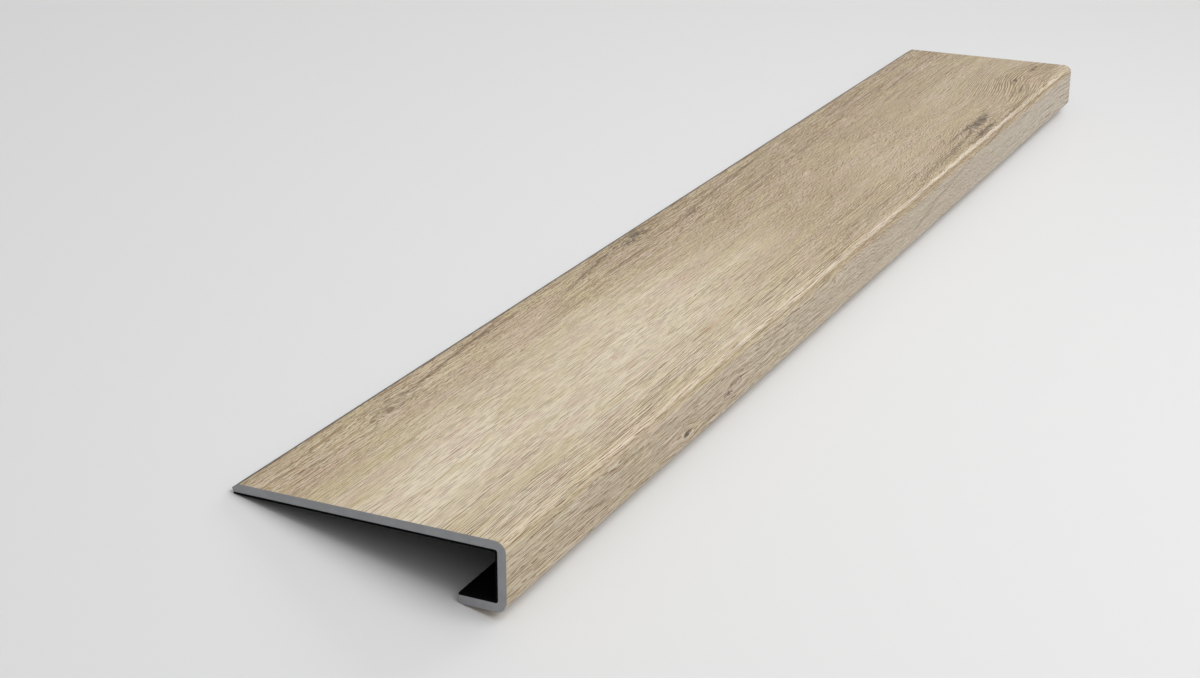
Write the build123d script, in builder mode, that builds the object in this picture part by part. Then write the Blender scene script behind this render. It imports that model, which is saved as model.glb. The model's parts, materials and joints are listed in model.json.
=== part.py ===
# Oak-look stair tread: one laminated vinyl board folded into a nose and a lip.
# Three bonded layers share one profile, drawn in the tread's own plane and extruded along X.
# The profile's horizontal runs from the nose face (0) to the rear edge, its vertical from
# the lip's underside (0) to the walking face.
# Left alone on a floor the tread tips back onto its rear edge, and that is how it is stored:
# +X along the tread, nose towards -Y, +Z up, origin under the middle of its box.

import os
from math import asin, atan2, cos, degrees, hypot, sin

from build123d import *

# Driving dimensions, in millimetres
length = 1220.0  # sawn length of the board
tread_depth = 173.0  # nose face to the tip of the rear edge
nose_height = 42.0  # lip's underside to the walking face
lip_depth = 29.2  # nose face to the lip's free edge

film_thickness = 0.5  # printed oak film with its clear wear layer
core_thickness = 4.7  # grey rigid core
pad_thickness = 1.3  # black foam backing
inside_radius = 0.3  # bend radius on the bare face of the foam

rear_bevel_depth = 4.2  # bevel on the rear edge, measured along the tread
rear_bevel_drop = 2.8  # the same bevel, measured down from the walking face
rear_back_cut = 0.9  # how far the foot of the rear edge lies in front of its tip
film_margin = 6.0  # flush bare core between the film's end and the lip's free edge
lip_edge_radius = 0.6  # eased lower corner of the lip's free edge

# Depths of the layers' faces below the outside of the fold
core_face = film_thickness
pad_face = core_face + core_thickness
bare_face = pad_face + pad_thickness
outside_radius = inside_radius + bare_face

# Points of the profile that more than one layer or the resting position uses
rear_tip = (tread_depth, nose_height - rear_bevel_drop)
rear_foot = tread_depth - rear_back_cut
film_end = lip_depth - film_margin

# Resting position: the floor touches the eased lip corner and the foot of the foam
lip_corner = (lip_depth - lip_edge_radius, lip_edge_radius)
foam_heel = (rear_foot, nose_height - bare_face)
heel_reach = foam_heel[0] - lip_corner[0]
heel_rise = foam_heel[1] - lip_corner[1]
rest_tilt = atan2(heel_rise, heel_reach) + asin(lip_edge_radius / hypot(heel_reach, heel_rise))


def across(point):
    # Distance of a profile point along the floor, before the profile is centred
    return point[0] * cos(rest_tilt) + point[1] * sin(rest_tilt)


def above(point):
    # Height of a profile point, before the profile is set down on the floor
    return point[1] * cos(rest_tilt) - point[0] * sin(rest_tilt)


front_of_box = across((outside_radius, outside_radius)) - outside_radius
back_of_box = across(rear_tip)
floor_level = above(lip_corner) - lip_edge_radius

profile_plane = Plane(
    origin=(0, -(front_of_box + back_of_box) / 2, -floor_level),
    x_dir=(0, cos(rest_tilt), -sin(rest_tilt)),
    z_dir=(1, 0, 0),
)


def rear_bevel(depth):
    # Where the rear bevel meets a face at this depth
    return tread_depth - rear_bevel_depth * (1 - depth / rear_bevel_drop)


def folded_face(depth, rear_end, lip_end):
    # One face of the fold, from the rear edge round the nose to the lip
    return FilletPolyline(
        (rear_end, nose_height - depth),
        (depth, nose_height - depth),
        (depth, depth),
        (lip_end, depth),
        radius=outside_radius - depth,
    )


# Printed film: from the rear bevel, round the nose, and a little way under the lip
with BuildPart() as oak_film:
    with BuildSketch(profile_plane):
        with BuildLine():
            outside = folded_face(0, rear_bevel(0), film_end)
            inside = folded_face(core_face, rear_bevel(core_face), film_end)
            Line(outside @ 0, inside @ 0)
            Line(outside @ 1, inside @ 1)
        make_face()
    extrude(amount=length / 2, both=True)

# Rigid core: bevelled and cut back at the rear, and full thickness beside the film's end
with BuildPart() as core_board:
    with BuildSketch(profile_plane) as core_section:
        with BuildLine():
            outside = folded_face(core_face, rear_bevel(core_face), film_end)
            inside = folded_face(pad_face, rear_foot, lip_depth)
            Polyline(outside @ 0, rear_tip, inside @ 0)
            Polyline(outside @ 1, (film_end, 0), (lip_depth, 0), inside @ 1)
        make_face()
        lip_edge = core_section.vertices().sort_by_distance((lip_depth, 0))[0]
        fillet(lip_edge, radius=lip_edge_radius)
    extrude(amount=length / 2, both=True)

# Foam pad: lines the whole inner side of the fold, from the rear edge to the lip's free edge
with BuildPart() as foam_pad:
    with BuildSketch(profile_plane):
        with BuildLine():
            outside = folded_face(pad_face, rear_foot, lip_depth)
            inside = folded_face(bare_face, rear_foot, lip_depth)
            Line(outside @ 0, inside @ 0)
            Line(outside @ 1, inside @ 1)
        make_face()
    extrude(amount=length / 2, both=True)

oak_film.part.label = "oak_film"
core_board.part.label = "core_board"
foam_pad.part.label = "foam_pad"

os.makedirs("parts", exist_ok=True)
for layer in (oak_film, core_board, foam_pad):
    export_step(layer.part, f"parts/{layer.part.label}.step")

print(f"rests tipped back by {degrees(rest_tilt):.2f} degrees")
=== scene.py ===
import json
from math import atan2, cos, pi, radians, sin

import bpy
from mathutils import Matrix, Vector


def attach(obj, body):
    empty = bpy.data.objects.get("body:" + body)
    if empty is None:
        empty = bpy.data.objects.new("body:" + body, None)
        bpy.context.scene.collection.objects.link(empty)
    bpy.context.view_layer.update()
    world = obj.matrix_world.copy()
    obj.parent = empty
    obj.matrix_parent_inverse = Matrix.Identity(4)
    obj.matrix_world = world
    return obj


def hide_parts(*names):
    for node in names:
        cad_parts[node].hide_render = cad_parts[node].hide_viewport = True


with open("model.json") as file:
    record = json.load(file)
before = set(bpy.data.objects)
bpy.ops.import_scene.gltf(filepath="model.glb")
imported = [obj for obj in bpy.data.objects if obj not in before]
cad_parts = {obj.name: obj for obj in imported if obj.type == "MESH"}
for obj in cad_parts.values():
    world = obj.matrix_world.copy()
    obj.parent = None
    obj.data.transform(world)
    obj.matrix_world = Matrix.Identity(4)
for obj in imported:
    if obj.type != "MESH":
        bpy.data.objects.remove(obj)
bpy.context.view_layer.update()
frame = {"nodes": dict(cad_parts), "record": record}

mm = 0.001


# Where the tread lies. Tread places run from the near sawn end (x), the nose face (y)
# and the lip's underside (z).
def measureTread():
    seat = next(m for m in frame["record"]["mounts"] if m["name"] == "step_seat")
    tilt = atan2(-seat["axis"][1], -seat["axis"][2])  # how far the tread has tipped back
    level = Matrix.Rotation(tilt, 4, "X")

    def levelBox(node):
        corners = [level @ v.co for v in frame["nodes"][node].data.vertices]
        return [Vector(pick(c[i] for c in corners) for i in range(3)) for pick in (min, max)]

    film, core = levelBox("oak_film"), levelBox("core_board")
    origin = film[0]
    return {
        "place": level.inverted() @ Matrix.Translation(origin),  # from tread places to the floor's frame
        "length": film[1].x - film[0].x,
        "noseHeight": film[1].z - film[0].z,
        "filmRear": film[1].y - origin.y,  # the film's deepest point, at the bottom of its bevel
        "filmThickness": core[0].y - film[0].y,
        "depth": core[1].y - origin.y,
    }


tread = measureTread()
print("tread:", {k: round(v / mm, 2) for k, v in tread.items() if k != "place"}, "mm")


# Camera, set in tread places, so it goes with the tread as it tips back
photoView = {
    "stand": (-0.86543, -0.46936, 0.52575),
    "yaw": 25.627,  # from along the tread towards its rear edge
    "pitch": 20.589,  # looking down
    "roll": 0.21,
    "lens": 62.505,
    "sensor": 36.0,
    "farthest": 100.0,
}


def placeCamera(view):
    yaw, pitch, roll = (radians(view[k]) for k in ("yaw", "pitch", "roll"))
    ahead = Vector((cos(yaw) * cos(pitch), sin(yaw) * cos(pitch), -sin(pitch)))
    right = ahead.cross(Vector((0, 0, 1))).normalized()
    up = right.cross(ahead)
    right, up = right * cos(roll) + up * sin(roll), up * cos(roll) - right * sin(roll)
    turn = Matrix((right, up, -ahead)).transposed().to_4x4()
    data = bpy.data.cameras.new("photoCamera")
    data.lens = view["lens"]
    data.sensor_width = view["sensor"]
    data.clip_end = view["farthest"]
    camera = bpy.data.objects.new("photoCamera", data)
    bpy.context.scene.collection.objects.link(camera)
    camera.matrix_world = tread["place"] @ Matrix.Translation(view["stand"]) @ turn
    bpy.context.scene.camera = camera


placeCamera(photoView)
print("camera placed")


# Node helpers
def addNode(tree, kind, **settings):
    node = tree.nodes.new(kind)
    for name, value in settings.items():
        setattr(node, name, value)
    return node


def feed(tree, socket, value):
    if isinstance(value, bpy.types.NodeSocket):
        tree.links.new(value, socket)
    elif value is not None:
        socket.default_value = value


def calc(tree, operation, *values):
    node = addNode(tree, "ShaderNodeMath", operation=operation)
    for socket, value in zip(node.inputs, values):
        feed(tree, socket, value)
    return node.outputs[0]


def vectorCalc(tree, operation, *values):
    node = addNode(tree, "ShaderNodeVectorMath", operation=operation)
    for socket, value in zip(node.inputs, values):
        feed(tree, socket, value)
    return node.outputs["Value" if operation in ("LENGTH", "DOT_PRODUCT") else "Vector"]


def combine(tree, x, y, z=0.0):
    node = addNode(tree, "ShaderNodeCombineXYZ")
    for socket, value in zip(node.inputs, (x, y, z)):
        feed(tree, socket, value)
    return node.outputs[0]


def split(tree, vector):
    axes = ((1, 0, 0), (0, 1, 0), (0, 0, 1))
    return [vectorCalc(tree, "DOT_PRODUCT", vector, axis) for axis in axes]


def mapRange(tree, value, low, high, toLow=0.0, toHigh=1.0):
    node = addNode(tree, "ShaderNodeMapRange", interpolation_type="SMOOTHSTEP", clamp=False)
    names = ("Value", "From Min", "From Max", "To Min", "To Max")
    for name, number in zip(names, (value, low, high, toLow, toHigh)):
        feed(tree, node.inputs[name], number)
    return node.outputs[0]


def blend(tree, mask, under, over):
    node = addNode(tree, "ShaderNodeMix", data_type="RGBA", clamp_factor=True)
    for name, value in (("Factor_Float", mask), ("A_Color", under), ("B_Color", over)):
        feed(tree, next(s for s in node.inputs if s.identifier == name), value)
    return next(s for s in node.outputs if s.identifier == "Result_Color")


def stretchedNoise(tree, place, along, across, seed, detail, roughness):
    # A noise whose features are about this long and wide, in millimetres
    scaled = vectorCalc(tree, "MULTIPLY_ADD", place, (1 / along, 1 / across, 1.0), (0.0, 0.0, seed))
    node = addNode(tree, "ShaderNodeTexNoise", noise_dimensions="3D")
    feed(tree, node.inputs["Vector"], scaled)
    node.inputs["Scale"].default_value = 1.0
    node.inputs["Detail"].default_value = detail
    node.inputs["Roughness"].default_value = roughness
    return node.outputs[0]


def newGroup(name, inputs, outputs):
    tree = bpy.data.node_groups.new(name, "ShaderNodeTree")
    for label, kind in inputs.items():
        tree.interface.new_socket(name=label, in_out="INPUT", socket_type="NodeSocket" + kind)
    for label, kind in outputs.items():
        tree.interface.new_socket(name=label, in_out="OUTPUT", socket_type="NodeSocket" + kind)
    return tree, addNode(tree, "NodeGroupInput").outputs, addNode(tree, "NodeGroupOutput").inputs


def useGroup(tree, group, **values):
    node = addNode(tree, "ShaderNodeGroup", node_tree=group)
    for name, value in values.items():
        feed(tree, node.inputs[name], value)
    return node.outputs


def newMaterial(name):
    material = bpy.data.materials.new(name)
    material.use_nodes = True
    tree = material.node_tree
    return material, tree, tree.nodes["Principled BSDF"].inputs


def srgb(r, g, b):
    values = [c / 255 for c in (r, g, b)]
    return (*(c / 12.92 if c <= 0.04045 else ((c + 0.055) / 1.055) ** 2.4 for c in values), 1.0)


# Shared effects
def makeKnotFlow():
    # How far a knot pushes the grain aside
    slack = 1.05  # above 1, so that the grain never folds over itself
    tree, given, out = newGroup(
        "knotFlow",
        {"Place": "Vector", "Centre": "Vector", "Radius": "Float", "Stretch": "Float"},
        {"Push": "Float"},
    )
    along, across, _ = split(tree, vectorCalc(tree, "SUBTRACT", given["Place"], given["Centre"]))
    along = calc(tree, "DIVIDE", along, given["Stretch"])
    square = calc(tree, "MULTIPLY_ADD", across, across, calc(tree, "MULTIPLY", along, along))
    rim = calc(tree, "MULTIPLY", given["Radius"], given["Radius"])
    room = calc(tree, "MULTIPLY_ADD", rim, slack, square)
    tree.links.new(calc(tree, "MULTIPLY", across, calc(tree, "DIVIDE", rim, room)), out["Push"])
    return tree


def makeDrawnStreak():
    # A soft streak between two places, fading out at both ends
    fade = 0.3  # share of its length
    tree, given, out = newGroup(
        "drawnStreak",
        {"Place": "Vector", "Start": "Vector", "End": "Vector", "Width": "Float"},
        {"Mask": "Float"},
    )
    runAlong, runAcross, _ = split(tree, vectorCalc(tree, "SUBTRACT", given["End"], given["Start"]))
    along, across, _ = split(tree, vectorCalc(tree, "SUBTRACT", given["Place"], given["Start"]))
    share = calc(tree, "DIVIDE", along, runAlong)
    line = calc(tree, "MULTIPLY", share, runAcross)
    aside = calc(tree, "DIVIDE", calc(tree, "SUBTRACT", across, line), given["Width"])
    soft = calc(tree, "EXPONENT", calc(tree, "MULTIPLY", calc(tree, "MULTIPLY", aside, aside), -1.0))
    ends = calc(tree, "MULTIPLY", mapRange(tree, share, 0.0, fade), mapRange(tree, share, 1.0, 1 - fade))
    tree.links.new(calc(tree, "MULTIPLY", soft, ends), out["Mask"])
    return tree


def makeTonePatch():
    # A soft oval patch
    tree, given, out = newGroup(
        "tonePatch",
        {"Place": "Vector", "Centre": "Vector", "Half Size": "Vector"},
        {"Mask": "Float"},
    )
    offset = vectorCalc(tree, "SUBTRACT", given["Place"], given["Centre"])
    reach = vectorCalc(tree, "DIVIDE", offset, given["Half Size"])
    square = vectorCalc(tree, "DOT_PRODUCT", reach, reach)
    tree.links.new(calc(tree, "EXPONENT", calc(tree, "MULTIPLY", square, -1.0)), out["Mask"])
    return tree


def makeGrainRelief():
    # Thin dark and pale dashes side by side along the grain, as long and wide as Size says. The dark dashes
    # are pores; the pale dash beside each is partly pale print and partly a painted highlight, as light
    # catches the flank of an embossed ridge
    sideStep = 0.55  # the slope of a noise is taken over this share of a dash's width
    darkSlope, paleSlope = (-0.06, -0.27), (0.06, 0.3)  # where dashes start, and where they are in full
    tree, given, out = newGroup(
        "grainRelief",
        {"Place": "Vector", "Size": "Vector", "Seed": "Float"},
        {"Dark": "Float", "Pale": "Float"},
    )
    scaled = vectorCalc(tree, "DIVIDE", given["Place"], given["Size"])
    values = []
    for shift in (0.0, sideStep):
        moved = vectorCalc(tree, "ADD", scaled, combine(tree, 0.0, shift, given["Seed"]))
        noise = addNode(tree, "ShaderNodeTexNoise", noise_dimensions="3D")
        tree.links.new(moved, noise.inputs["Vector"])
        noise.inputs["Scale"].default_value = 1.0
        noise.inputs["Detail"].default_value = 1.0
        noise.inputs["Roughness"].default_value = 0.5
        values.append(noise.outputs[0])
    slope = calc(tree, "SUBTRACT", *values)
    tree.links.new(mapRange(tree, slope, *darkSlope), out["Dark"])
    tree.links.new(mapRange(tree, slope, *paleSlope), out["Pale"])
    return tree


def makeSawnEnd():
    # Fine marks that a saw leaves on a cut face, from Object coordinates in metres
    lean, crossScale, scuffed = 0.35, 60.0, (0.55, 0.75)
    tree, given, out = newGroup(
        "sawnEnd",
        {"Place": "Vector", "Pitch": "Float"},
        {"Height": "Float", "Scuff": "Float"},
    )
    _, across, up = split(tree, given["Place"])
    slant = calc(tree, "MULTIPLY_ADD", up, lean, across)
    line = combine(tree, calc(tree, "DIVIDE", slant, given["Pitch"]), calc(tree, "MULTIPLY", up, crossScale))
    marks = addNode(tree, "ShaderNodeTexNoise")
    marks.inputs["Detail"].default_value = 3.0
    tree.links.new(line, marks.inputs["Vector"])
    marks.inputs["Scale"].default_value = 1.0
    tree.links.new(marks.outputs[0], out["Height"])
    tree.links.new(mapRange(tree, marks.outputs[0], *scuffed), out["Scuff"])
    return tree


knotFlow = makeKnotFlow()
drawnStreak = makeDrawnStreak()
tonePatch = makeTonePatch()
grainRelief = makeGrainRelief()
sawnEnd = makeSawnEnd()
print("shared effects ready")


# Oak print. Places and sizes are in millimetres of flat stock: along from the near end,
# across from the film's rear edge. Four numbers in a row are a start, an end and the values there.
oakPrint = {
    "cream": srgb(233, 220, 195),
    "straw": srgb(208, 190, 157),
    "tan": srgb(176, 154, 117),
    "blush": srgb(212, 186, 164),
    "honey": srgb(207, 190, 145),
    "amber": srgb(190, 154, 106),
    "pore": srgb(124, 90, 46),
    # pale flecks of the print, and painted highlights beside the pores
    "fleckAndHighlight": srgb(238, 229, 209),
    "streak": srgb(116, 91, 60),
    "blotch": srgb(84, 65, 40),
    # grey of the front face: partly print, partly a painted reflection of the floor
    "frontGreyAndSheen": srgb(192, 181, 165),
    # pale print patches, and the colour of the painted highlight over the nose
    "paleAndHighlight": srgb(234, 221, 204),
    "rearDark": srgb(78, 71, 62),
    "roughness": (0.0, 0.6, 0.44, 0.56),  # from the bare film to a full pore
    "specular": 0.5,
    "embossDepth": 0.00015,
    "fleckHeight": 0.5,  # against a pore's depth
    "flows": (  # knots that part the grain: place, radius, stretch along the grain
        ((130, 20), 4.5, 3.2),
        ((504, 10), 6.0, 3.0),
        ((253, 44), 2.5, 1.6),
        ((730, 66), 6.0, 1.4),
        ((951, 150), 8.0, 3.6),
        ((1131, 134), 3.0, 2.6),
        ((1191, 138), 5.0, 2.6),
        ((828, 164), 3.0, 2.6),
        ((775, 164), 3.0, 2.6),
        ((239, 195), 5.0, 2.2),
        ((320, 190), 6.0, 2.4),
        ((512, 178), 5.0, 2.4),
    ),
    "bulges": (  # where the grain swells towards the rear: place, half size, amount
        ((1160, 128), (80, 44), 17.0),
        ((955, 138), (60, 22), 6.0),
    ),
    "rings": (  # where the growth rings show: place, half size, darkness
        ((1120, 122), (110, 38), 0.6),
        ((1000, 60), (200, 50), 0.3),
        ((832, 158), (26, 8), 0.5),
        ((778, 159), (24, 7), 0.4),
    ),
    "ringPitch": 2.3,
    "ringDark": (-0.1, 0.9),  # which part of a ring's wave is dark, and which is pale
    "ringPale": (0.1, -0.9),
    "ringPaleness": 0.4,
    "curls": (  # wormy patches: place, half size, strength
        ((850, 92), (90, 34), 1.0),
        ((765, 78), (40, 10), 1.0),
        ((660, 90), (120, 40), 0.6),
        ((320, 112), (70, 18), 0.4),
        ((560, 132), (90, 14), 0.5),
        ((980, 100), (60, 30), 0.35),
    ),
    "blotches": (  # fibrous dark marks: place, half size, darkness
        ((140, 17), (30, 7.5), 0.4),
        ((125, 21.6), (7, 1.8), 0.7),
        ((135, 20), (6, 1.6), 0.6),
        ((112, 20.5), (8, 2.4), 0.6),
        ((110, 11.6), (3, 1.1), 0.7),
        ((161, 14.6), (6, 1.3), 0.7),
        ((166, 9), (6, 1.3), 0.7),
        ((181, 13.8), (10, 1.0), 0.75),
        ((508, 8), (36, 8), 0.7),
        ((508, 6), (13, 3.2), 0.9),
        ((493, 11), (13, 2.6), 0.8),
        ((448, 9.6), (10, 2.0), 0.6),
        ((580, 23), (20, 2.6), 0.6),
        ((270, 8), (12, 1.8), 0.7),
        ((253, 44.5), (2.2, 1.1), 0.6),
        ((956, 147), (30, 5.0), 0.9),
        ((930, 145), (22, 2.4), 0.75),
        ((985, 143), (12, 1.8), 0.7),
        ((1004, 140), (9, 1.2), 0.6),
        ((920, 160.6), (20, 3.0), 0.9),
        ((952, 160.8), (22, 1.8), 0.9),
        ((905, 153.7), (20, 1.2), 0.7),
        ((888, 163.8), (7, 1.2), 0.6),
        ((1131, 133.8), (8, 2.2), 1.0),
        ((1118, 136), (9, 1.6), 0.6),
        ((1190, 137.8), (13, 2.2), 0.85),
        ((1208, 141.6), (16, 1.2), 0.85),
        ((1100, 149), (30, 6.0), 0.4),
        ((1190, 150), (40, 8.0), 0.35),
        ((840, 157), (60, 6.0), 0.35),
        ((240, 195.6), (5.5, 3.0), 1.0),
        ((318, 189), (9, 1.6), 0.6),
        ((307, 192.9), (6, 2.2), 0.85),
        ((334, 185), (8, 1.4), 0.5),
        ((510, 178), (6, 2.2), 0.4),
        ((557, 176), (2.5, 1.4), 0.6),
        ((486, 171), (16, 1.4), 0.6),
    ),
    "knots": (  # small solid dark spots: place, half size, darkness
        ((1131, 133.9), (8, 1.6), 0.9),
        ((1187, 137.2), (8, 1.6), 0.6),
        ((240, 195.4), (5.0, 2.2), 0.3),
        ((962, 147.6), (22, 3.2), 0.5),
        ((944, 150.6), (14, 2.0), 0.4),
        ((928, 161), (17, 2.4), 0.5),
    ),
    "streaks": (  # start, end, half width, darkness
        ((140, 16), (330, 2), 1.2, 0.95),
        ((355, 20), (480, 6), 1.2, 0.85),
        ((10, 21), (115, 29), 0.8, 0.7),
        ((405, 28), (505, 27), 1.3, 0.9),
        ((525, 24), (605, 18), 1.0, 0.5),
        ((535, 45), (630, 43), 0.9, 0.6),
        ((575, 19), (800, 7), 1.2, 0.9),
        ((590, 40), (750, 34), 1.1, 0.65),
        ((745, 37), (900, 33), 1.1, 0.6),
        ((940, 18), (1050, 8), 1.1, 0.85),
        ((950, 22), (1070, 20), 1.0, 0.7),
        ((990, 34), (1130, 30), 1.0, 0.8),
        ((1060, 31), (1250, 27), 1.0, 0.75),
        ((980, 46), (1050, 43), 1.0, 0.6),
        ((835, 156), (945, 151), 1.2, 0.9),
        ((855, 145), (945, 143), 1.2, 0.9),
        ((968, 164.4), (1064, 163.4), 0.9, 1.0),
        ((1010, 160.0), (1100, 162.4), 0.9, 0.9),
        ((898, 173.6), (960, 171.8), 0.9, 0.9),
        ((930, 173.4), (990, 165.6), 0.9, 1.0),
        ((1078, 168.8), (1128, 169.0), 0.9, 0.9),
        ((690, 197), (780, 181), 1.6, 0.4),
        ((745, 186), (880, 173), 1.6, 0.4),
        ((86, 186), (130, 194), 0.9, 0.6),
    ),
    "tones": (  # paler or darker patches: place, half size, amount
        ((140, 94), (230, 34), 0.2),
        ((420, 98), (160, 34), 0.1),
        ((250, 152), (170, 10), 0.1),
        ((60, 26), (170, 22), -0.05),
        ((300, 2), (240, 10), -0.1),
        ((560, 20), (110, 16), -0.08),
        ((840, 158), (120, 10), -0.18),
        ((955, 152), (80, 13), -0.2),
        ((1150, 148), (90, 14), -0.18),
        ((1140, 31), (150, 6), -0.08),
        ((150, 192), (330, 16), -0.2),
        ((640, 190), (260, 16), -0.19),
        # painted reflection: the far end of the front face made paler, as the floor mirrored there would
        ((1160, 190), (200, 16), 0.58),
        ((700, 150), (520, 14), -0.05),
    ),
    "smears": (  # patches of another hue: place, half size, colour, strength
        ((126, 23.4), (10, 3.0), "blush", 0.7),
        ((117, 26.2), (6, 1.4), "blush", 0.8),
        ((162, 16.7), (5, 0.9), "blush", 0.8),
        ((133, 22), (4, 0.9), "paleAndHighlight", 0.7),
        ((142, 21.4), (4, 0.9), "paleAndHighlight", 0.7),
        ((237, 196.2), (1.8, 0.8), "fleckAndHighlight", 0.9),
        ((212, 31), (12, 6), "blush", 0.6),
        ((282, 33), (24, 11), "blush", 0.6),
        ((435, 83), (42, 9), "blush", 0.6),
        ((560, 26), (36, 8), "blush", 0.5),
        ((716, 68), (14, 9), "blush", 0.5),
        ((958, 147.4), (30, 5.0), "streak", 0.75),
        ((932, 145), (20, 2.0), "streak", 0.5),
        ((920, 160.6), (24, 3.4), "streak", 0.8),
        ((952, 160.8), (20, 1.8), "streak", 0.75),
        ((1189, 138), (14, 2.6), "streak", 0.65),
        ((1120, 146), (40, 8), "amber", 0.25),
        ((1180, 148), (40, 10), "amber", 0.25),
        ((507, 7), (14, 3.4), "streak", 0.25),
        ((345, 138), (15, 1.4), "amber", 0.7),
        ((457, 132), (9, 1.3), "amber", 0.6),
    ),
    "zones": {  # parts of the face: where each starts, and where it is in full
        "rear": ("across", 90, 6),
        "far": ("along", 330, 640),
        "nose": ("across", 138, 160),
        "front": ("across", 171, 176),
    },
    "noises": {  # length, width, seed, detail, roughness
        "wander": (230, 55, 1.3, 2, 0.5),
        "ripple": (34, 11, 4.1, 2, 0.5),
        "waver": (9, 4, 6.6, 2, 0.5),
        "curl": (90, 22, 21.3, 1, 0.5),
        "flutter": (9, 4, 6.6, 2, 0.5),
        "lines": (60, 3.0, 2.9, 2, 0.6),
        "clouds": (170, 16, 7.7, 2, 0.5),
        "hue": (70, 12, 9.2, 4, 0.68),
        "warmth": (30, 5, 17.9, 3, 0.65),
        "crowd": (140, 9, 5.5, 2, 0.5),
        "fibre": (5.5, 1.1, 12.5, 3, 0.65),
        "strokes": (24, 0.7, 41.7, 2, 0.5),
    },
    "grainSway": {"wander": 9.0, "ripple": 1.2, "curl": 3.2},  # how far the grain strays
    "curlSway": {"wander": 30.0, "ripple": 2.0},
    "markSway": {"along": 12.0, "across": 2.6, "ripple": 1.6},
    "stripeSway": {"waver": 1.4, "ripple": 0.8},
    "curlFrom": (0.52, 0.68),
    "curlNear": (300, 620, 0.15, 0.8),  # calmer towards both ends of the board
    "curlFar": (1100, 880, 0.2, 1.0),
    "toneLevel": 0.225,
    "toneClouds": 0.6,
    "toneLines": {"all": 0.16, "nose": 0.15, "rear": 0.5},
    "toneZones": {"rear": -0.13, "far": -0.25},
    "toneStops": {"tan": 0.2, "straw": 0.47, "cream": 0.74},
    "blushFrom": (0.5, 0.64, 0.0, 0.62),
    "honeyFrom": (0.5, 0.36, 0.0, 0.62),
    "amberFrom": (0.52, 0.68, 0.0, 0.3),
    "frontSheenFade": (-100, 1200, 0.3, 0.9),  # how grey and pale the front turns along the board: partly its print, partly a painted reflection of the floor, strongest at the far end
    "figuredNear": (430, 620),  # the middle of the board has ticks instead of long pores
    "figuredFar": (1100, 920),
    "figuredLoss": {"rear": -0.7, "mid": -0.7},
    "combed": {"rear": (96, 150), "nose": (172, 166), "far": (980, 720)},  # long lines by the nose
    "dashes": {  # length, width, seed
        "fine": (18, 0.7, 3.3),
        "mid": (32, 1.7, 8.4),
        "wide": (55, 3.0, 14.1),
        "bold": (13, 1.5, 27.2),
        "tick": (5, 1.15, 33.8),
        "curl": (6, 2.3, 19.4),
        "long": (80, 0.85, 51.6),
    },
    "boldFrom": (0.35, 0.9),
    "darkness": {  # of the dashes all over, and how much more in each zone
        "fine": {"all": 0.9, "nose": 0.06, "figured": -0.3},
        "mid": {"all": 0.25, "front": 0.2, "far": 0.35},
        "wide": {"all": 0.05, "nose": 0.2, "rear": 0.5},
        "bold": {"all": 0.12, "nose": 0.2, "nearFront": 0.3, "rear": 0.55},
        "tick": {"all": 0.1, "rear": 0.65, "figured": 0.75},
        "curl": {"all": 0.0, "curl": 0.7},
        "long": {"all": 0.0, "combed": 0.9},
    },
    "paleness": {
        "fine": {"all": 0.6, "rear": 0.1, "figured": -0.2},
        "mid": {"all": 0.2, "far": 0.3},
        "tick": {"all": 0.0, "rear": 0.4, "figured": 0.5},
        "wide": {"all": 0.05, "nose": 0.3},
        "curl": {"all": 0.0, "curl": 0.5},
        "long": {"all": 0.0, "combed": 0.7},
    },
    "gain": {"all": 1.03, "nose": 0.2, "rear": 0.15, "far": 0.18, "farFront": -0.45},
    "crowding": (0.3, 0.7, 0.75, 1.2),
    "streakBreaks": (0.3, 0.5),
    "tornReach": 0.2,
    "tornFrom": (0.56, 0.74),
    "tornEdge": (0.04, 0.4),
    "noseTan": {"middle": 170.2, "half": 1.6, "strength": 0.4, "along": (200, 700, 0.3, 1.0)},
    "noseShade": {"middle": 169.4, "half": 0.6, "strength": 0.5},
    "paintedNoseHighlight": {  # painted highlight along the nose's bend, a pale band in the base colour
        "middle": 166.4,
        "half": 1.25,
        "strength": 0.56,
        "edge": (0.2, 0.6),
        "near": (60, 420, 0.3, 1.0),
        "far": (1150, 960, 0.3, 1.0),
        "strokes": (0.42, 0.54),  # brush-like gaps near the camera, whole farther off
        "whole": (250, 800, 0.0, 0.75),
        "most": 1.15,
        "pores": (300, 800, 0.9, 0.3),
    },
    "rearLine": (1.2, 0.6, 0.0, 0.9),
}


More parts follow.
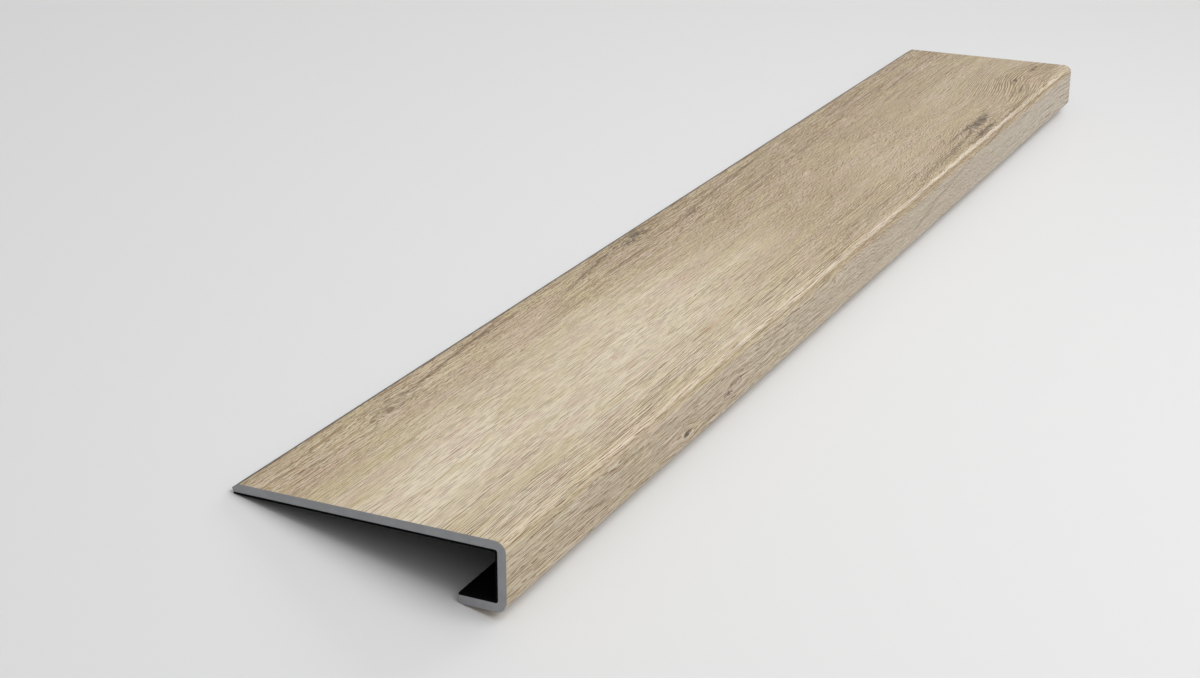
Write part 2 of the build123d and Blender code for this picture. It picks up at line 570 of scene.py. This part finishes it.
def makeOak(look):
    material, tree, shader = newMaterial("oakPrint")
    stored = addNode(tree, "ShaderNodeAttribute", attribute_name="flatStock")
    place = vectorCalc(tree, "MULTIPLY", stored.outputs["Vector"], (1 / mm, 1 / mm, 0.0))
    along, across, _ = split(tree, place)

    def times(value, amount):
        return calc(tree, "MULTIPLY", value, amount)

    def plus(value, amount, base):
        return calc(tree, "MULTIPLY_ADD", value, amount, base)

    def ranged(value, limits):
        return mapRange(tree, value, *limits)

    def noise(name, where):
        return stretchedNoise(tree, where, *look["noises"][name])

    def centred(name, where):
        return calc(tree, "SUBTRACT", noise(name, where), 0.5)

    def patch(where, centre, half):
        given = {"Place": where, "Centre": (*centre, 0), "Half Size": (*half, 1)}
        return useGroup(tree, tonePatch, **given)["Mask"]

    def strongest(masks):
        most = 0.0
        for mask, weight in masks:
            most = calc(tree, "MAXIMUM", most, times(mask, weight))
        return most

    def weigh(amounts):
        weight = amounts["all"]
        for zone, amount in amounts.items():
            if zone != "all":
                weight = plus(zones[zone], amount, weight)
        return weight

    def ridge(band):
        sway = look["stripeSway"]
        swayed = plus(waver, sway["waver"], plus(ripple, sway["ripple"], across))
        off = calc(tree, "DIVIDE", calc(tree, "SUBTRACT", swayed, band["middle"]), band["half"])
        return calc(tree, "EXPONENT", times(times(off, off), -1.0))

    # Grain: wandering lines that part round the knots, run round arches and curl in places
    wander, ripple, waver = (centred(name, place) for name in ("wander", "ripple", "waver"))
    sway = look["grainSway"]
    grain = plus(ripple, sway["ripple"], plus(wander, sway["wander"], across))
    for (x, s), radius, stretch in look["flows"]:
        given = {"Place": place, "Centre": (x, s, 0), "Radius": radius, "Stretch": stretch}
        grain = calc(tree, "SUBTRACT", grain, useGroup(tree, knotFlow, **given)["Push"])
    for centre, half, amount in look["bulges"]:
        grain = plus(patch(place, centre, half), amount, grain)
    aside = look["curlSway"]
    swayed = combine(tree, plus(wander, aside["wander"], along), plus(ripple, aside["ripple"], across))
    curl = ranged(noise("curl", swayed), look["curlFrom"])
    curl = times(curl, times(ranged(along, look["curlNear"]), ranged(along, look["curlFar"])))
    drawnCurls = [(patch(swayed, centre, half), amount) for centre, half, amount in look["curls"]]
    curl = strongest([(curl, 1.0)] + drawnCurls)
    grain = plus(times(curl, waver), sway["curl"], grain)
    line = combine(tree, along, grain)

    # Drawn marks flutter a little about their places, as the grain does
    flutter = centred("flutter", line)
    drift = look["markSway"]
    fluttered = plus(flutter, drift["across"], plus(ripple, drift["ripple"], across))
    bent = combine(tree, plus(flutter, drift["along"], along), fluttered)
    ringed = strongest([(patch(bent, centre, half), dark) for centre, half, dark in look["rings"]])

    # Tone and hue of the board
    axes = {"along": along, "across": across}
    zones = {name: ranged(axes[axis], limits) for name, (axis, *limits) in look["zones"].items()}
    lines = centred("lines", line)
    tone = plus(noise("clouds", line), look["toneClouds"], look["toneLevel"])
    tone = plus(lines, weigh(look["toneLines"]), tone)
    for zone, amount in look["toneZones"].items():
        tone = plus(zones[zone], amount, tone)
    for centre, half, amount in look["tones"]:
        tone = plus(patch(bent, centre, half), amount, tone)
    ramp = addNode(tree, "ShaderNodeValToRGB")
    stops = ramp.color_ramp.elements
    places = look["toneStops"]
    stops[0].position, stops[0].color = places["tan"], look["tan"]
    stops[1].position, stops[1].color = places["cream"], look["cream"]
    stops.new(places["straw"]).color = look["straw"]
    tree.links.new(tone, ramp.inputs[0])
    colour = ramp.outputs[0]
    hue = noise("hue", line)
    colour = blend(tree, ranged(hue, look["blushFrom"]), colour, look["blush"])
    colour = blend(tree, ranged(hue, look["honeyFrom"]), colour, look["honey"])
    colour = blend(tree, ranged(noise("warmth", line), look["amberFrom"]), colour, look["amber"])
    for centre, half, tint, strength in look["smears"]:
        colour = blend(tree, times(patch(bent, centre, half), strength), colour, look[tint])
    # The front turns greyer and paler along the board: partly print, partly a painted reflection of the
    # floor
    greyAndSheen = times(zones["front"], ranged(along, look["frontSheenFade"]))
    colour = blend(tree, greyAndSheen, colour, look["frontGreyAndSheen"])

    # Pores and pale flecks at several sizes, the flecks partly a painted highlight beside the pores, and
    # rings in the arches
    crowd = ranged(noise("crowd", line), look["crowding"])
    figured = times(ranged(along, look["figuredNear"]), ranged(along, look["figuredFar"]))
    zones["figured"] = plus(times(figured, zones["rear"]), look["figuredLoss"]["rear"], figured)
    plain = plus(zones["figured"], look["figuredLoss"]["mid"], 1.0)
    dark, pale = {}, {}
    for name, (*size, seed) in look["dashes"].items():
        dashes = useGroup(tree, grainRelief, Place=line, Size=(*size, 1), Seed=seed)
        dark[name], pale[name] = dashes["Dark"], dashes["Pale"]
    dark["bold"] = ranged(dark["bold"], look["boldFrom"])
    dark["mid"], pale["mid"] = times(dark["mid"], plain), times(pale["mid"], plain)
    combed = times(ranged(across, look["combed"]["rear"]), ranged(across, look["combed"]["nose"]))
    zones["combed"] = times(combed, ranged(along, look["combed"]["far"]))
    zones["curl"] = curl
    zones["nearFront"] = times(zones["front"], calc(tree, "SUBTRACT", 1.0, zones["far"]))
    zones["farFront"] = times(zones["front"], zones["far"])
    wave = calc(tree, "SINE", times(grain, 2 * pi / look["ringPitch"]))
    darks = [(dark[name], weigh(amounts)) for name, amounts in look["darkness"].items()]
    darks.append((ranged(wave, look["ringDark"]), ringed))
    pales = [(pale[name], weigh(amounts)) for name, amounts in look["paleness"].items()]
    pales.append((ranged(wave, look["ringPale"]), times(ringed, look["ringPaleness"])))
    gain = weigh(look["gain"])
    marks = times(times(strongest(darks), crowd), gain)
    flecksAndHighlights = times(strongest(pales), gain)
    # pale flecks: partly print, partly a painted highlight beside each pore
    colour = blend(tree, flecksAndHighlights, colour, look["fleckAndHighlight"])
    colour = blend(tree, marks, colour, look["pore"])

    # Drawn streaks, fibrous blotches and solid knots
    fibre = noise("fibre", line)
    broken = ranged(fibre, look["streakBreaks"])
    for (x1, s1), (x2, s2), width, darkness in look["streaks"]:
        given = {"Place": bent, "Start": (x1, s1, 0), "End": (x2, s2, 0), "Width": width}
        soft = useGroup(tree, drawnStreak, **given)["Mask"]
        colour = blend(tree, times(times(soft, broken), darkness), colour, look["streak"])
    for centre, half, darkness in look["blotches"]:
        spot = patch(bent, centre, half)
        torn = ranged(plus(spot, look["tornReach"], fibre), (*look["tornFrom"], 0.0, darkness))
        torn = times(torn, ranged(spot, look["tornEdge"]))
        colour = blend(tree, torn, colour, look["blotch"])
    for centre, half, darkness in look["knots"]:
        colour = blend(tree, times(patch(bent, centre, half), darkness), colour, look["blotch"])

    # The painted highlight over the nose, tan and shade below it, and the dark rear edge
    stripe, tanned, shaded = look["paintedNoseHighlight"], look["noseTan"], look["noseShade"]
    band = ranged(ridge(stripe), stripe["edge"])
    shown = times(ranged(along, stripe["near"]), ranged(along, stripe["far"]))
    strokes = noise("strokes", line)
    whole = ranged(along, stripe["whole"])
    shown = times(shown, ranged(strokes, (*stripe["strokes"], whole, stripe["most"])))
    shown = times(shown, plus(times(marks, ranged(along, stripe["pores"])), -1.0, 1.0))
    below = times(ridge(tanned), ranged(along, tanned["along"]))
    colour = blend(tree, times(below, tanned["strength"]), colour, look["tan"])
    # painted highlight: a pale band blended into the base colour along the nose's bend
    colour = blend(tree, times(times(band, shown), stripe["strength"]), colour, look["paleAndHighlight"])
    under = times(times(ridge(shaded), broken), shaded["strength"])
    colour = blend(tree, under, colour, look["streak"])
    colour = blend(tree, ranged(across, look["rearLine"]), colour, look["rearDark"])

    tree.links.new(colour, shader["Base Color"])
    shader["Specular IOR Level"].default_value = look["specular"]
    tree.links.new(ranged(marks, look["roughness"]), shader["Roughness"])
    emboss = addNode(tree, "ShaderNodeBump")
    emboss.inputs["Strength"].default_value = 1.0
    emboss.inputs["Distance"].default_value = look["embossDepth"]
    height = calc(tree, "SUBTRACT", times(flecksAndHighlights, look["fleckHeight"]), marks)
    tree.links.new(height, emboss.inputs["Height"])
    tree.links.new(emboss.outputs[0], shader["Normal"])
    return material


# Grey core, also on the film's own cut edges
greyCore = {
    "grey": srgb(163, 164, 167),
    "dark": srgb(157, 158, 161),
    "speck": srgb(180, 180, 182),
    "bevelDark": srgb(84, 78, 70),
    "bevel": (0.0042, 0.0028),  # rear bevel, along the tread and down
    "bevelSkin": (0.0002, 0.0001),  # how near the bevel's plane its dark colour lies
    "cloudScale": 140.0,
    "cloudSpread": (0.35, 0.65),
    "gritScale": 2600.0,
    "gritShown": (0.62, 0.74, 0.0, 0.5),
    "gritHeight": 0.4,
    "sawPitch": 0.0007,
    "scuffShown": 0.18,
    "roughness": 0.7,
    "scuffRoughness": 0.58,
    "specular": 0.2,
    "bumpStrength": 0.35,
    "bumpDepth": 0.0001,
}


def makeGreyCore(look):
    material, tree, shader = newMaterial("greyCore")
    place = addNode(tree, "ShaderNodeTexCoord").outputs["Object"]
    cloud = addNode(tree, "ShaderNodeTexNoise")
    cloud.inputs["Scale"].default_value = look["cloudScale"]
    cloud.inputs["Detail"].default_value = 4.0
    tree.links.new(place, cloud.inputs["Vector"])
    grit = addNode(tree, "ShaderNodeTexNoise")
    grit.inputs["Scale"].default_value = look["gritScale"]
    grit.inputs["Detail"].default_value = 2.0
    tree.links.new(place, grit.inputs["Vector"])
    saw = useGroup(tree, sawnEnd, Place=place, Pitch=look["sawPitch"])
    colour = blend(tree, mapRange(tree, cloud.outputs[0], *look["cloudSpread"]), look["dark"], look["grey"])
    colour = blend(tree, mapRange(tree, grit.outputs[0], *look["gritShown"]), colour, look["speck"])
    colour = blend(tree, calc(tree, "MULTIPLY", saw["Scuff"], look["scuffShown"]), colour, look["speck"])
    run, drop = look["bevel"]
    tip = tread["place"] @ Vector((0, tread["depth"], tread["noseHeight"] - drop))
    facing = tread["place"].to_3x3() @ Vector((0, drop, run)).normalized()
    off = vectorCalc(tree, "DOT_PRODUCT", vectorCalc(tree, "SUBTRACT", place, tip), facing)
    painted = mapRange(tree, calc(tree, "ABSOLUTE", off), *look["bevelSkin"])
    colour = blend(tree, painted, colour, look["bevelDark"])
    tree.links.new(colour, shader["Base Color"])
    rough = mapRange(tree, saw["Scuff"], 0.0, 1.0, look["roughness"], look["scuffRoughness"])
    tree.links.new(rough, shader["Roughness"])
    shader["Specular IOR Level"].default_value = look["specular"]
    bump = addNode(tree, "ShaderNodeBump")
    bump.inputs["Strength"].default_value = look["bumpStrength"]
    bump.inputs["Distance"].default_value = look["bumpDepth"]
    height = calc(tree, "MULTIPLY_ADD", grit.outputs[0], look["gritHeight"], saw["Height"])
    tree.links.new(height, bump.inputs["Height"])
    tree.links.new(bump.outputs[0], shader["Normal"])
    return material


# Black closed-cell foam
blackFoam = {
    "black": srgb(5, 5, 5),
    "cell": srgb(30, 30, 32),
    "cellSize": 0.0007,
    "cellEdge": (0.7, 0.1),
    "paleCells": 6.0,  # the higher, the fewer cells catch the light
    "roughness": 0.9,
    "paleRoughness": 0.65,
    "specular": 0.06,
    "bumpStrength": 0.6,
    "bumpDepth": 0.0002,
}


def makeBlackFoam(look):
    material, tree, shader = newMaterial("blackFoam")
    place = addNode(tree, "ShaderNodeTexCoord").outputs["Object"]
    cells = addNode(tree, "ShaderNodeTexVoronoi")
    cells.inputs["Scale"].default_value = 1 / look["cellSize"]
    tree.links.new(place, cells.inputs["Vector"])
    tint = addNode(tree, "ShaderNodeSeparateColor")
    tree.links.new(cells.outputs["Color"], tint.inputs[0])
    light = calc(tree, "POWER", tint.outputs[0], look["paleCells"])
    dome = mapRange(tree, cells.outputs["Distance"], *look["cellEdge"])
    colour = blend(tree, calc(tree, "MULTIPLY", light, dome), look["black"], look["cell"])
    tree.links.new(colour, shader["Base Color"])
    rough = mapRange(tree, light, 0.0, 1.0, look["roughness"], look["paleRoughness"])
    tree.links.new(rough, shader["Roughness"])
    shader["Specular IOR Level"].default_value = look["specular"]
    bump = addNode(tree, "ShaderNodeBump")
    bump.inputs["Strength"].default_value = look["bumpStrength"]
    bump.inputs["Distance"].default_value = look["bumpDepth"]
    tree.links.new(dome, bump.inputs["Height"])
    tree.links.new(bump.outputs[0], shader["Normal"])
    return material


oakMaterial = makeOak(oakPrint)
coreMaterial = makeGreyCore(greyCore)
foamMaterial = makeBlackFoam(blackFoam)
frame["nodes"]["core_board"].material_slots[0].material = coreMaterial
frame["nodes"]["foam_pad"].material_slots[0].material = foamMaterial
print("materials ready")


# Oak film: the flat stock's face, folded round the nose by one rule
filmFold = {
    "outsideRadius": 0.0068,
    "lipEnd": 0.0232,  # where the film stops under the lip, from the nose face
    "rearSlant": 0.00075,  # how far the bevel leans across the film's thickness
    "columns": 42,
    "rows": 342,
    "sharpEdge": 30,  # degrees, above which an edge is a cut one
    "bakeStrip": 0.06,  # share of the bake map left for the hidden face and the cut edges
    "bakeRows": {  # where each of them starts in that strip, and how high it is
        "under": (0.02, 0.4),
        "nearEnd": (0.46, 0.1),
        "farEnd": (0.6, 0.1),
        "rearEdge": (0.74, 0.1),
        "lipEdge": (0.86, 0.1),
    },
}


def makeFoldTree():
    tree = bpy.data.node_groups.new("foldStock", "GeometryNodeTree")
    tree.interface.new_socket(name="Folded", in_out="OUTPUT", socket_type="NodeSocketGeometry")
    lengths = ("Length", "Thickness", "Rear End", "Rear Slant", "Nose Height", "Lip End", "Radius")
    kinds = {name: "Float" for name in (*lengths, "Sharp Edge")}
    kinds.update({"Columns": "Int", "Rows": "Int", "Face": "Material", "Edge": "Material"})
    for label, kind in kinds.items():
        tree.interface.new_socket(name=label, in_out="INPUT", socket_type="NodeSocket" + kind)
    given = addNode(tree, "NodeGroupInput").outputs
    quarter = pi / 2
    hair = 1e-6  # metres, for finding the rear edge
    radius = given["Radius"]
    bend = calc(tree, "MULTIPLY", radius, quarter)
    topRun = calc(tree, "SUBTRACT", given["Rear End"], radius)
    frontRun = calc(tree, "SUBTRACT", given["Nose Height"], calc(tree, "MULTIPLY", radius, 2.0))
    lipRun = calc(tree, "SUBTRACT", given["Lip End"], radius)
    frontStart = calc(tree, "ADD", topRun, bend)
    secondBend = calc(tree, "ADD", frontStart, frontRun)
    lipStart = calc(tree, "ADD", secondBend, bend)
    width = calc(tree, "ADD", lipStart, lipRun)

    board = addNode(tree, "GeometryNodeMeshCube")
    feed(tree, board.inputs["Size"], combine(tree, given["Length"], width, given["Thickness"]))
    feed(tree, board.inputs["Vertices X"], given["Columns"])
    feed(tree, board.inputs["Vertices Y"], given["Rows"])
    board.inputs["Vertices Z"].default_value = 2

    # Flat stock places: along the board, from the rear edge, and below the printed face
    x, y, z = split(tree, addNode(tree, "GeometryNodeInputPosition").outputs[0])
    along = calc(tree, "MULTIPLY_ADD", given["Length"], 0.5, x)
    across = calc(tree, "SUBTRACT", calc(tree, "MULTIPLY", width, 0.5), y)
    depth = calc(tree, "SUBTRACT", calc(tree, "MULTIPLY", given["Thickness"], 0.5), z)
    atRear = calc(tree, "LESS_THAN", across, hair)
    lean = calc(tree, "MULTIPLY", given["Rear Slant"], calc(tree, "DIVIDE", depth, given["Thickness"]))
    across = calc(tree, "SUBTRACT", across, calc(tree, "MULTIPLY", lean, atRear))
    flat = combine(tree, along, across, depth)

    capture = addNode(tree, "GeometryNodeStoreNamedAttribute", data_type="FLOAT_VECTOR", domain="POINT")
    capture.inputs["Name"].default_value = "flatStock"
    tree.links.new(board.outputs["Mesh"], capture.inputs["Geometry"])
    tree.links.new(flat, capture.inputs["Value"])
    side = addNode(tree, "GeometryNodeStoreNamedAttribute", data_type="FLOAT_VECTOR", domain="FACE")
    side.inputs["Name"].default_value = "flatSide"
    tree.links.new(capture.outputs[0], side.inputs["Geometry"])
    tree.links.new(addNode(tree, "GeometryNodeInputNormal").outputs[0], side.inputs["Value"])

    # Fold: flat runs and two quarter bends, then down by the place's depth
    recall = addNode(tree, "GeometryNodeInputNamedAttribute", data_type="FLOAT_VECTOR")
    recall.inputs["Name"].default_value = "flatStock"
    along, across, depth = split(tree, recall.outputs[0])

    def turned(start):
        swept = calc(tree, "DIVIDE", calc(tree, "SUBTRACT", across, start), radius)
        return calc(tree, "MINIMUM", calc(tree, "MAXIMUM", swept, 0.0), quarter)

    first, second = turned(topRun), turned(secondBend)
    back = calc(tree, "SUBTRACT", given["Rear End"], calc(tree, "MINIMUM", across, topRun))
    back = calc(tree, "SUBTRACT", back, calc(tree, "MULTIPLY", radius, calc(tree, "SINE", first)))
    inward = calc(tree, "SUBTRACT", 1.0, calc(tree, "COSINE", second))
    back = calc(tree, "ADD", back, calc(tree, "MULTIPLY", radius, inward))
    back = calc(tree, "ADD", back, calc(tree, "MAXIMUM", calc(tree, "SUBTRACT", across, lipStart), 0.0))
    drop = calc(tree, "MULTIPLY", radius, calc(tree, "SUBTRACT", 1.0, calc(tree, "COSINE", first)))
    fallen = calc(tree, "MAXIMUM", calc(tree, "SUBTRACT", across, frontStart), 0.0)
    drop = calc(tree, "ADD", drop, calc(tree, "MINIMUM", fallen, frontRun))
    drop = calc(tree, "ADD", drop, calc(tree, "MULTIPLY", radius, calc(tree, "SINE", second)))
    turn = calc(tree, "ADD", first, second)
    back = calc(tree, "MULTIPLY_ADD", depth, calc(tree, "SINE", turn), back)
    drop = calc(tree, "MULTIPLY_ADD", depth, calc(tree, "COSINE", turn), drop)
    fold = addNode(tree, "GeometryNodeSetPosition")
    tree.links.new(side.outputs[0], fold.inputs["Geometry"])
    folded = combine(tree, along, back, calc(tree, "SUBTRACT", given["Nose Height"], drop))
    tree.links.new(folded, fold.inputs["Position"])

    # Smooth faces, sharp where the sheet was cut, printed on the outside only
    smooth = addNode(tree, "GeometryNodeSetShadeSmooth", domain="EDGE")
    tree.links.new(fold.outputs[0], smooth.inputs[0])
    angle = addNode(tree, "GeometryNodeInputMeshEdgeAngle").outputs["Unsigned Angle"]
    tree.links.new(calc(tree, "LESS_THAN", angle, given["Sharp Edge"]), smooth.inputs["Shade Smooth"])
    faces = addNode(tree, "GeometryNodeInputNamedAttribute", data_type="FLOAT_VECTOR")
    faces.inputs["Name"].default_value = "flatSide"
    facing = split(tree, faces.outputs[0])[2]
    realize = addNode(tree, "GeometryNodeRealizeInstances")
    tree.links.new(smooth.outputs[0], realize.inputs[0])
    edge = addNode(tree, "GeometryNodeSetMaterial")
    tree.links.new(realize.outputs[0], edge.inputs["Geometry"])
    tree.links.new(given["Edge"], edge.inputs["Material"])
    printed = addNode(tree, "GeometryNodeSetMaterial")
    tree.links.new(edge.outputs[0], printed.inputs["Geometry"])
    tree.links.new(calc(tree, "GREATER_THAN", facing, 0.5), printed.inputs["Selection"])
    tree.links.new(given["Face"], printed.inputs["Material"])
    tree.links.new(printed.outputs[0], addNode(tree, "NodeGroupOutput").inputs[0])
    return tree


def addBakeMap(mesh, strip, rows):
    # The printed face fills the map from end to end, so that a baked print keeps its thin lines
    stock = [v.vector for v in mesh.attributes["flatStock"].data]
    sides = [f.vector for f in mesh.attributes["flatSide"].data]
    length, width, thickness = (max(s[i] for s in stock) for i in range(3))
    layer = mesh.uv_layers.new(name="OFBake")

    def spot(side, along, across, deep):
        if side.z > 0.5:
            return along, strip + (1 - strip) * across
        if side.z < -0.5:
            row, run, rise = "under", along, across
        elif abs(side.x) > 0.5:
            row, run, rise = "nearEnd" if side.x < 0 else "farEnd", across, deep
        else:
            row, run, rise = "rearEdge" if side.y > 0 else "lipEdge", along, deep
        start, height = rows[row]
        return run, strip * (start + height * rise)

    for face in mesh.polygons:
        for corner in face.loop_indices:
            s = stock[mesh.loops[corner].vertex_index]
            shares = s[0] / length, max(s[1], 0.0) / width, s[2] / thickness
            layer.data[corner].uv = spot(sides[face.index], *shares)
    mesh.attributes.remove(mesh.attributes["flatSide"])


def makeFilm(size):
    maker = bpy.data.objects.new("filmMaker", bpy.data.meshes.new("filmMaker"))
    bpy.context.scene.collection.objects.link(maker)
    modifier = maker.modifiers.new("foldStock", "NODES")
    modifier.node_group = makeFoldTree()
    values = {
        "Length": tread["length"],
        "Thickness": tread["filmThickness"],
        "Rear End": tread["filmRear"] - size["rearSlant"],
        "Rear Slant": size["rearSlant"],
        "Nose Height": tread["noseHeight"],
        "Lip End": size["lipEnd"],
        "Radius": size["outsideRadius"],
        "Sharp Edge": radians(size["sharpEdge"]),
        "Columns": size["columns"],
        "Rows": size["rows"],
        "Face": oakMaterial,
        "Edge": coreMaterial,
    }
    for item in modifier.node_group.interface.items_tree:
        if item.in_out == "INPUT":
            modifier[item.identifier] = values[item.name]
    graph = bpy.context.evaluated_depsgraph_get()
    mesh = bpy.data.meshes.new_from_object(maker.evaluated_get(graph), depsgraph=graph)
    bpy.data.objects.remove(maker)
    addBakeMap(mesh, size["bakeStrip"], size["bakeRows"])
    mesh.transform(tread["place"])
    film = bpy.data.objects.new("oakFilm", mesh)
    bpy.context.scene.collection.objects.link(film)
    return film


film = makeFilm(filmFold)
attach(film, "root")
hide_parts("oak_film")
print("film folded:", len(film.data.polygons), "faces")


# Floor and light
studio = {
    "floor": srgb(230, 230, 230),  # the backdrop's colour too
    "floorHalf": 30.0,
    "floorRoughness": 0.9,
    "floorSpecular": 0.1,
    "paleFrom": 1.2,  # from here to there the floor gives way to the backdrop, away from the tread
    "paleTo": 2.6,
    "domeLow": 0.16,  # light level of the surroundings at the horizon, and overhead
    "domeHigh": 0.49,
    "domeRise": 0.7,
    "softboxes": {
        "overhead": {
            "centre": (-0.19, -0.83, 1.78),
            "size": (2.0, 1.6),
            "power": 24.0,
            "spread": 180,
            "mirrored": True,
        },
        "farFill": {  # behind a grid, and not mirrored in the print's sheen
            "centre": (3.3, -0.1, 1.45),
            "size": (2.2, 1.2),
            "power": 6.4,
            "spread": 72,
            "mirrored": False,
        },
    },
}


def seenRay(tree):
    # What is seen straight on, mirrored or through glass, and not what lights the tread
    rays = addNode(tree, "ShaderNodeLightPath").outputs
    straight = calc(tree, "MAXIMUM", rays["Is Camera Ray"], rays["Is Glossy Ray"])
    return calc(tree, "MAXIMUM", straight, rays["Is Transmission Ray"])


def makeStudio(look):
    half = look["floorHalf"]
    mesh = bpy.data.meshes.new("studioFloor")
    corners = [(-half, -half, 0), (half, -half, 0), (half, half, 0), (-half, half, 0)]
    mesh.from_pydata(corners, [], [(0, 1, 2, 3)])
    floor = bpy.data.objects.new("studioFloor", mesh)
    bpy.context.scene.collection.objects.link(floor)
    material, tree, shader = newMaterial("studioFloor")
    shader["Base Color"].default_value = look["floor"]
    shader["Roughness"].default_value = look["floorRoughness"]
    shader["Specular IOR Level"].default_value = look["floorSpecular"]
    reach = vectorCalc(tree, "LENGTH", addNode(tree, "ShaderNodeTexCoord").outputs["Object"])
    paled = calc(tree, "MULTIPLY", mapRange(tree, reach, look["paleFrom"], look["paleTo"]), seenRay(tree))
    pick = addNode(tree, "ShaderNodeMixShader")
    tree.links.new(paled, pick.inputs[0])
    tree.links.new(tree.nodes["Principled BSDF"].outputs[0], pick.inputs[1])
    tree.links.new(addNode(tree, "ShaderNodeBsdfTransparent").outputs[0], pick.inputs[2])
    tree.links.new(pick.outputs[0], tree.nodes["Material Output"].inputs["Surface"])
    mesh.materials.append(material)

    world = bpy.data.worlds.new("studioWorld")
    world.use_nodes = True
    tree = world.node_tree
    dome = tree.nodes["Background"]
    dome.inputs["Color"].default_value = (1, 1, 1, 1)
    height = split(tree, addNode(tree, "ShaderNodeTexCoord").outputs["Generated"])[2]
    level = mapRange(tree, height, 0.0, look["domeRise"], look["domeLow"], look["domeHigh"])
    tree.links.new(level, dome.inputs["Strength"])
    seen = addNode(tree, "ShaderNodeBackground")
    seen.inputs["Color"].default_value = look["floor"]
    pick = addNode(tree, "ShaderNodeMixShader")
    tree.links.new(seenRay(tree), pick.inputs[0])
    tree.links.new(dome.outputs[0], pick.inputs[1])
    tree.links.new(seen.outputs[0], pick.inputs[2])
    tree.links.new(pick.outputs[0], tree.nodes["World Output"].inputs["Surface"])
    bpy.context.scene.world = world

    for name, box in look["softboxes"].items():
        data = bpy.data.lights.new(name, "AREA")
        data.shape = "RECTANGLE"
        data.size, data.size_y = box["size"]
        data.energy = box["power"]
        data.spread = radians(box["spread"])
        lamp = bpy.data.objects.new(name, data)
        bpy.context.scene.collection.objects.link(lamp)
        lamp.visible_camera = False
        lamp.visible_glossy = box["mirrored"]
        lamp.location = box["centre"]
        lamp.rotation_euler = (-Vector(box["centre"])).to_track_quat("-Z", "Y").to_euler()  # at the tread


makeStudio(studio)
bpy.context.scene.view_settings.view_transform = "Standard"
print("studio ready")
